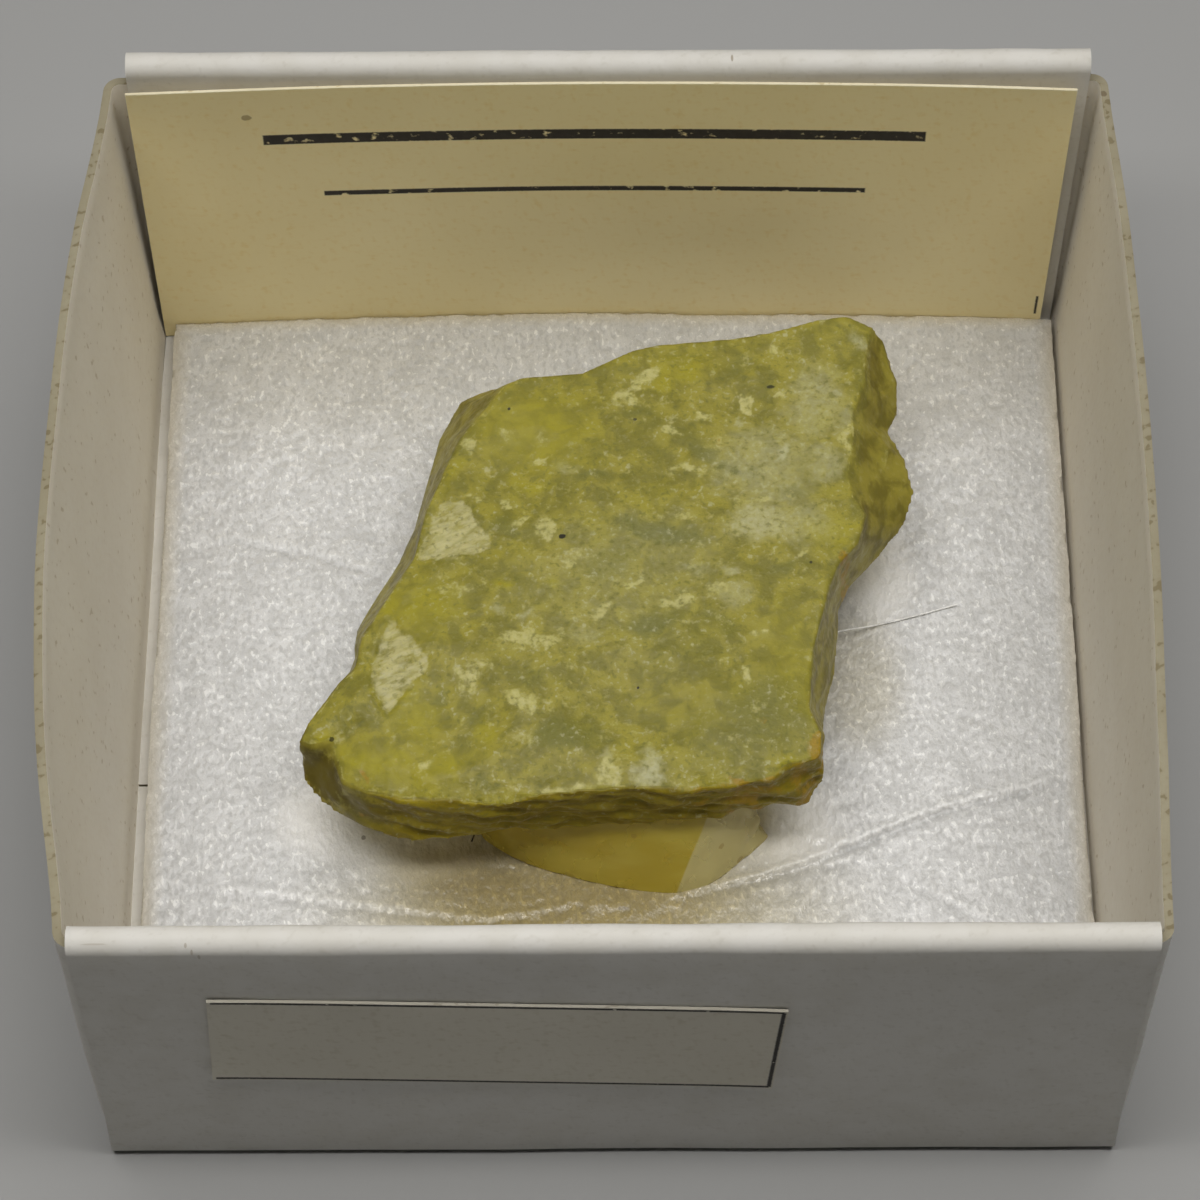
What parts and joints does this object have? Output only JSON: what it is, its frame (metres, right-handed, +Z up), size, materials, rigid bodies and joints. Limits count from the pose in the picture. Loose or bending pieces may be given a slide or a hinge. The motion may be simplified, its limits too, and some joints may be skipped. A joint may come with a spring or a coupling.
{
  "type": "boxed rock specimen",
  "caption": "Broken serpentine rock, flat on top, glued on a foam pad in a small open folded card tray, with a card along the back wall and a sticker on the front.",
  "frame": {"origin": "middle of the tray's footprint, on the surface that it stands on", "axes": "+Z up out of the open tray, -Y towards the front wall with the sticker, +X to the right seen from the front"},
  "size_m": [0.0446, 0.0423, 0.02],
  "materials": {
    "tray_board": "smooth white clay-coated board, buff and fibrous on its cut edges",
    "foam": "pearly white fine-celled packing foam",
    "card_paper": "matte cream paper",
    "sticker_paper": "matte cream paper with a thin printed border",
    "glue": "clear amber set glue, smooth and glossy",
    "serpentine": "waxy, slightly see-through olive yellow stone with paler cloudy patches and broken faces"
  },
  "bodies": {
    "root": {"card_tray": "tray_board", "foam_pad": "foam", "name_card": "card_paper", "number_sticker": "sticker_paper", "glue_blob": "glue", "serpentine_rock": "serpentine"}
  },
  "joints": []
}
